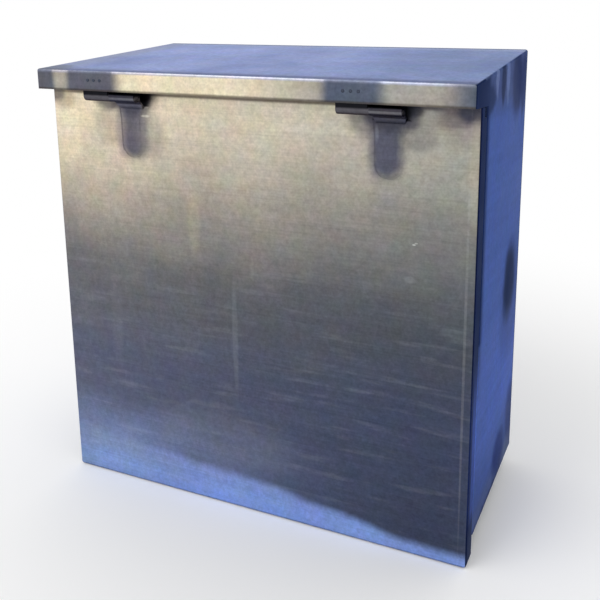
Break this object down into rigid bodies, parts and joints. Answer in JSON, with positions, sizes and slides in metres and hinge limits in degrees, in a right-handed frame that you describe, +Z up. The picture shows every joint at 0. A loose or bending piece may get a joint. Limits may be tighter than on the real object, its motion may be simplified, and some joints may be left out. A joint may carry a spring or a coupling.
{
  "type": "meter cabinet",
  "caption": "Wall-mounted galvanised sheet-steel meter cabinet with a sloping roof, a top-hung door on lift-off hinges and a meter board inside",
  "frame": {"origin": "Middle of the four wall holes, on the outer face of the back panel.", "axes": "X to the right seen from the front, +Y from the door through the cabinet into the wall, +Z up."},
  "size_m": [0.6, 0.2697, 0.6248],
  "materials": {
    "galvanised": "hot-dip galvanised sheet, dulled",
    "hinge_steel": "zinc-sprayed steel, dull grey",
    "fastener": "zinc-plated steel",
    "brass": "plain turned brass",
    "grommet_rubber": "matte black rubber",
    "board": "varnished plywood"
  },
  "bodies": {
    "cabinet": {"body_wrap": "galvanised", "back_panel": "galvanised", "floor_pan": "galvanised", "header_rail": "galvanised", "gland_plate": "galvanised", "gland_plate_screws": "fastener", "gland_plate_nuts": "fastener", "cable_grommet_left": "grommet_rubber", "cable_grommet_right": "grommet_rubber", "meter_board": "board", "board_spacers": "fastener", "board_studs": "fastener", "board_washers": "fastener", "board_nuts": "fastener", "earth_stud": "fastener", "earth_washers": "fastener", "earth_nuts": "brass", "left_hinge_lid_leaf": "hinge_steel", "left_hinge_rivets": "hinge_steel", "left_hinge_pin": "fastener", "left_hinge_washer": "hinge_steel", "right_hinge_lid_leaf": "hinge_steel", "right_hinge_rivets": "hinge_steel", "right_hinge_pin": "fastener", "right_hinge_washer": "hinge_steel"},
    "door": {"door_tray": "galvanised", "left_hinge_door_leaf": "hinge_steel", "right_hinge_door_leaf": "hinge_steel"}
  },
  "joints": [
    {"name": "door_hinge", "type": "hinge", "parent": "cabinet", "child": "door", "pos_m": [0, -0.2614, 0.247], "axis": [-1, 0, 0], "range_deg": [0, 105]}
  ]
}
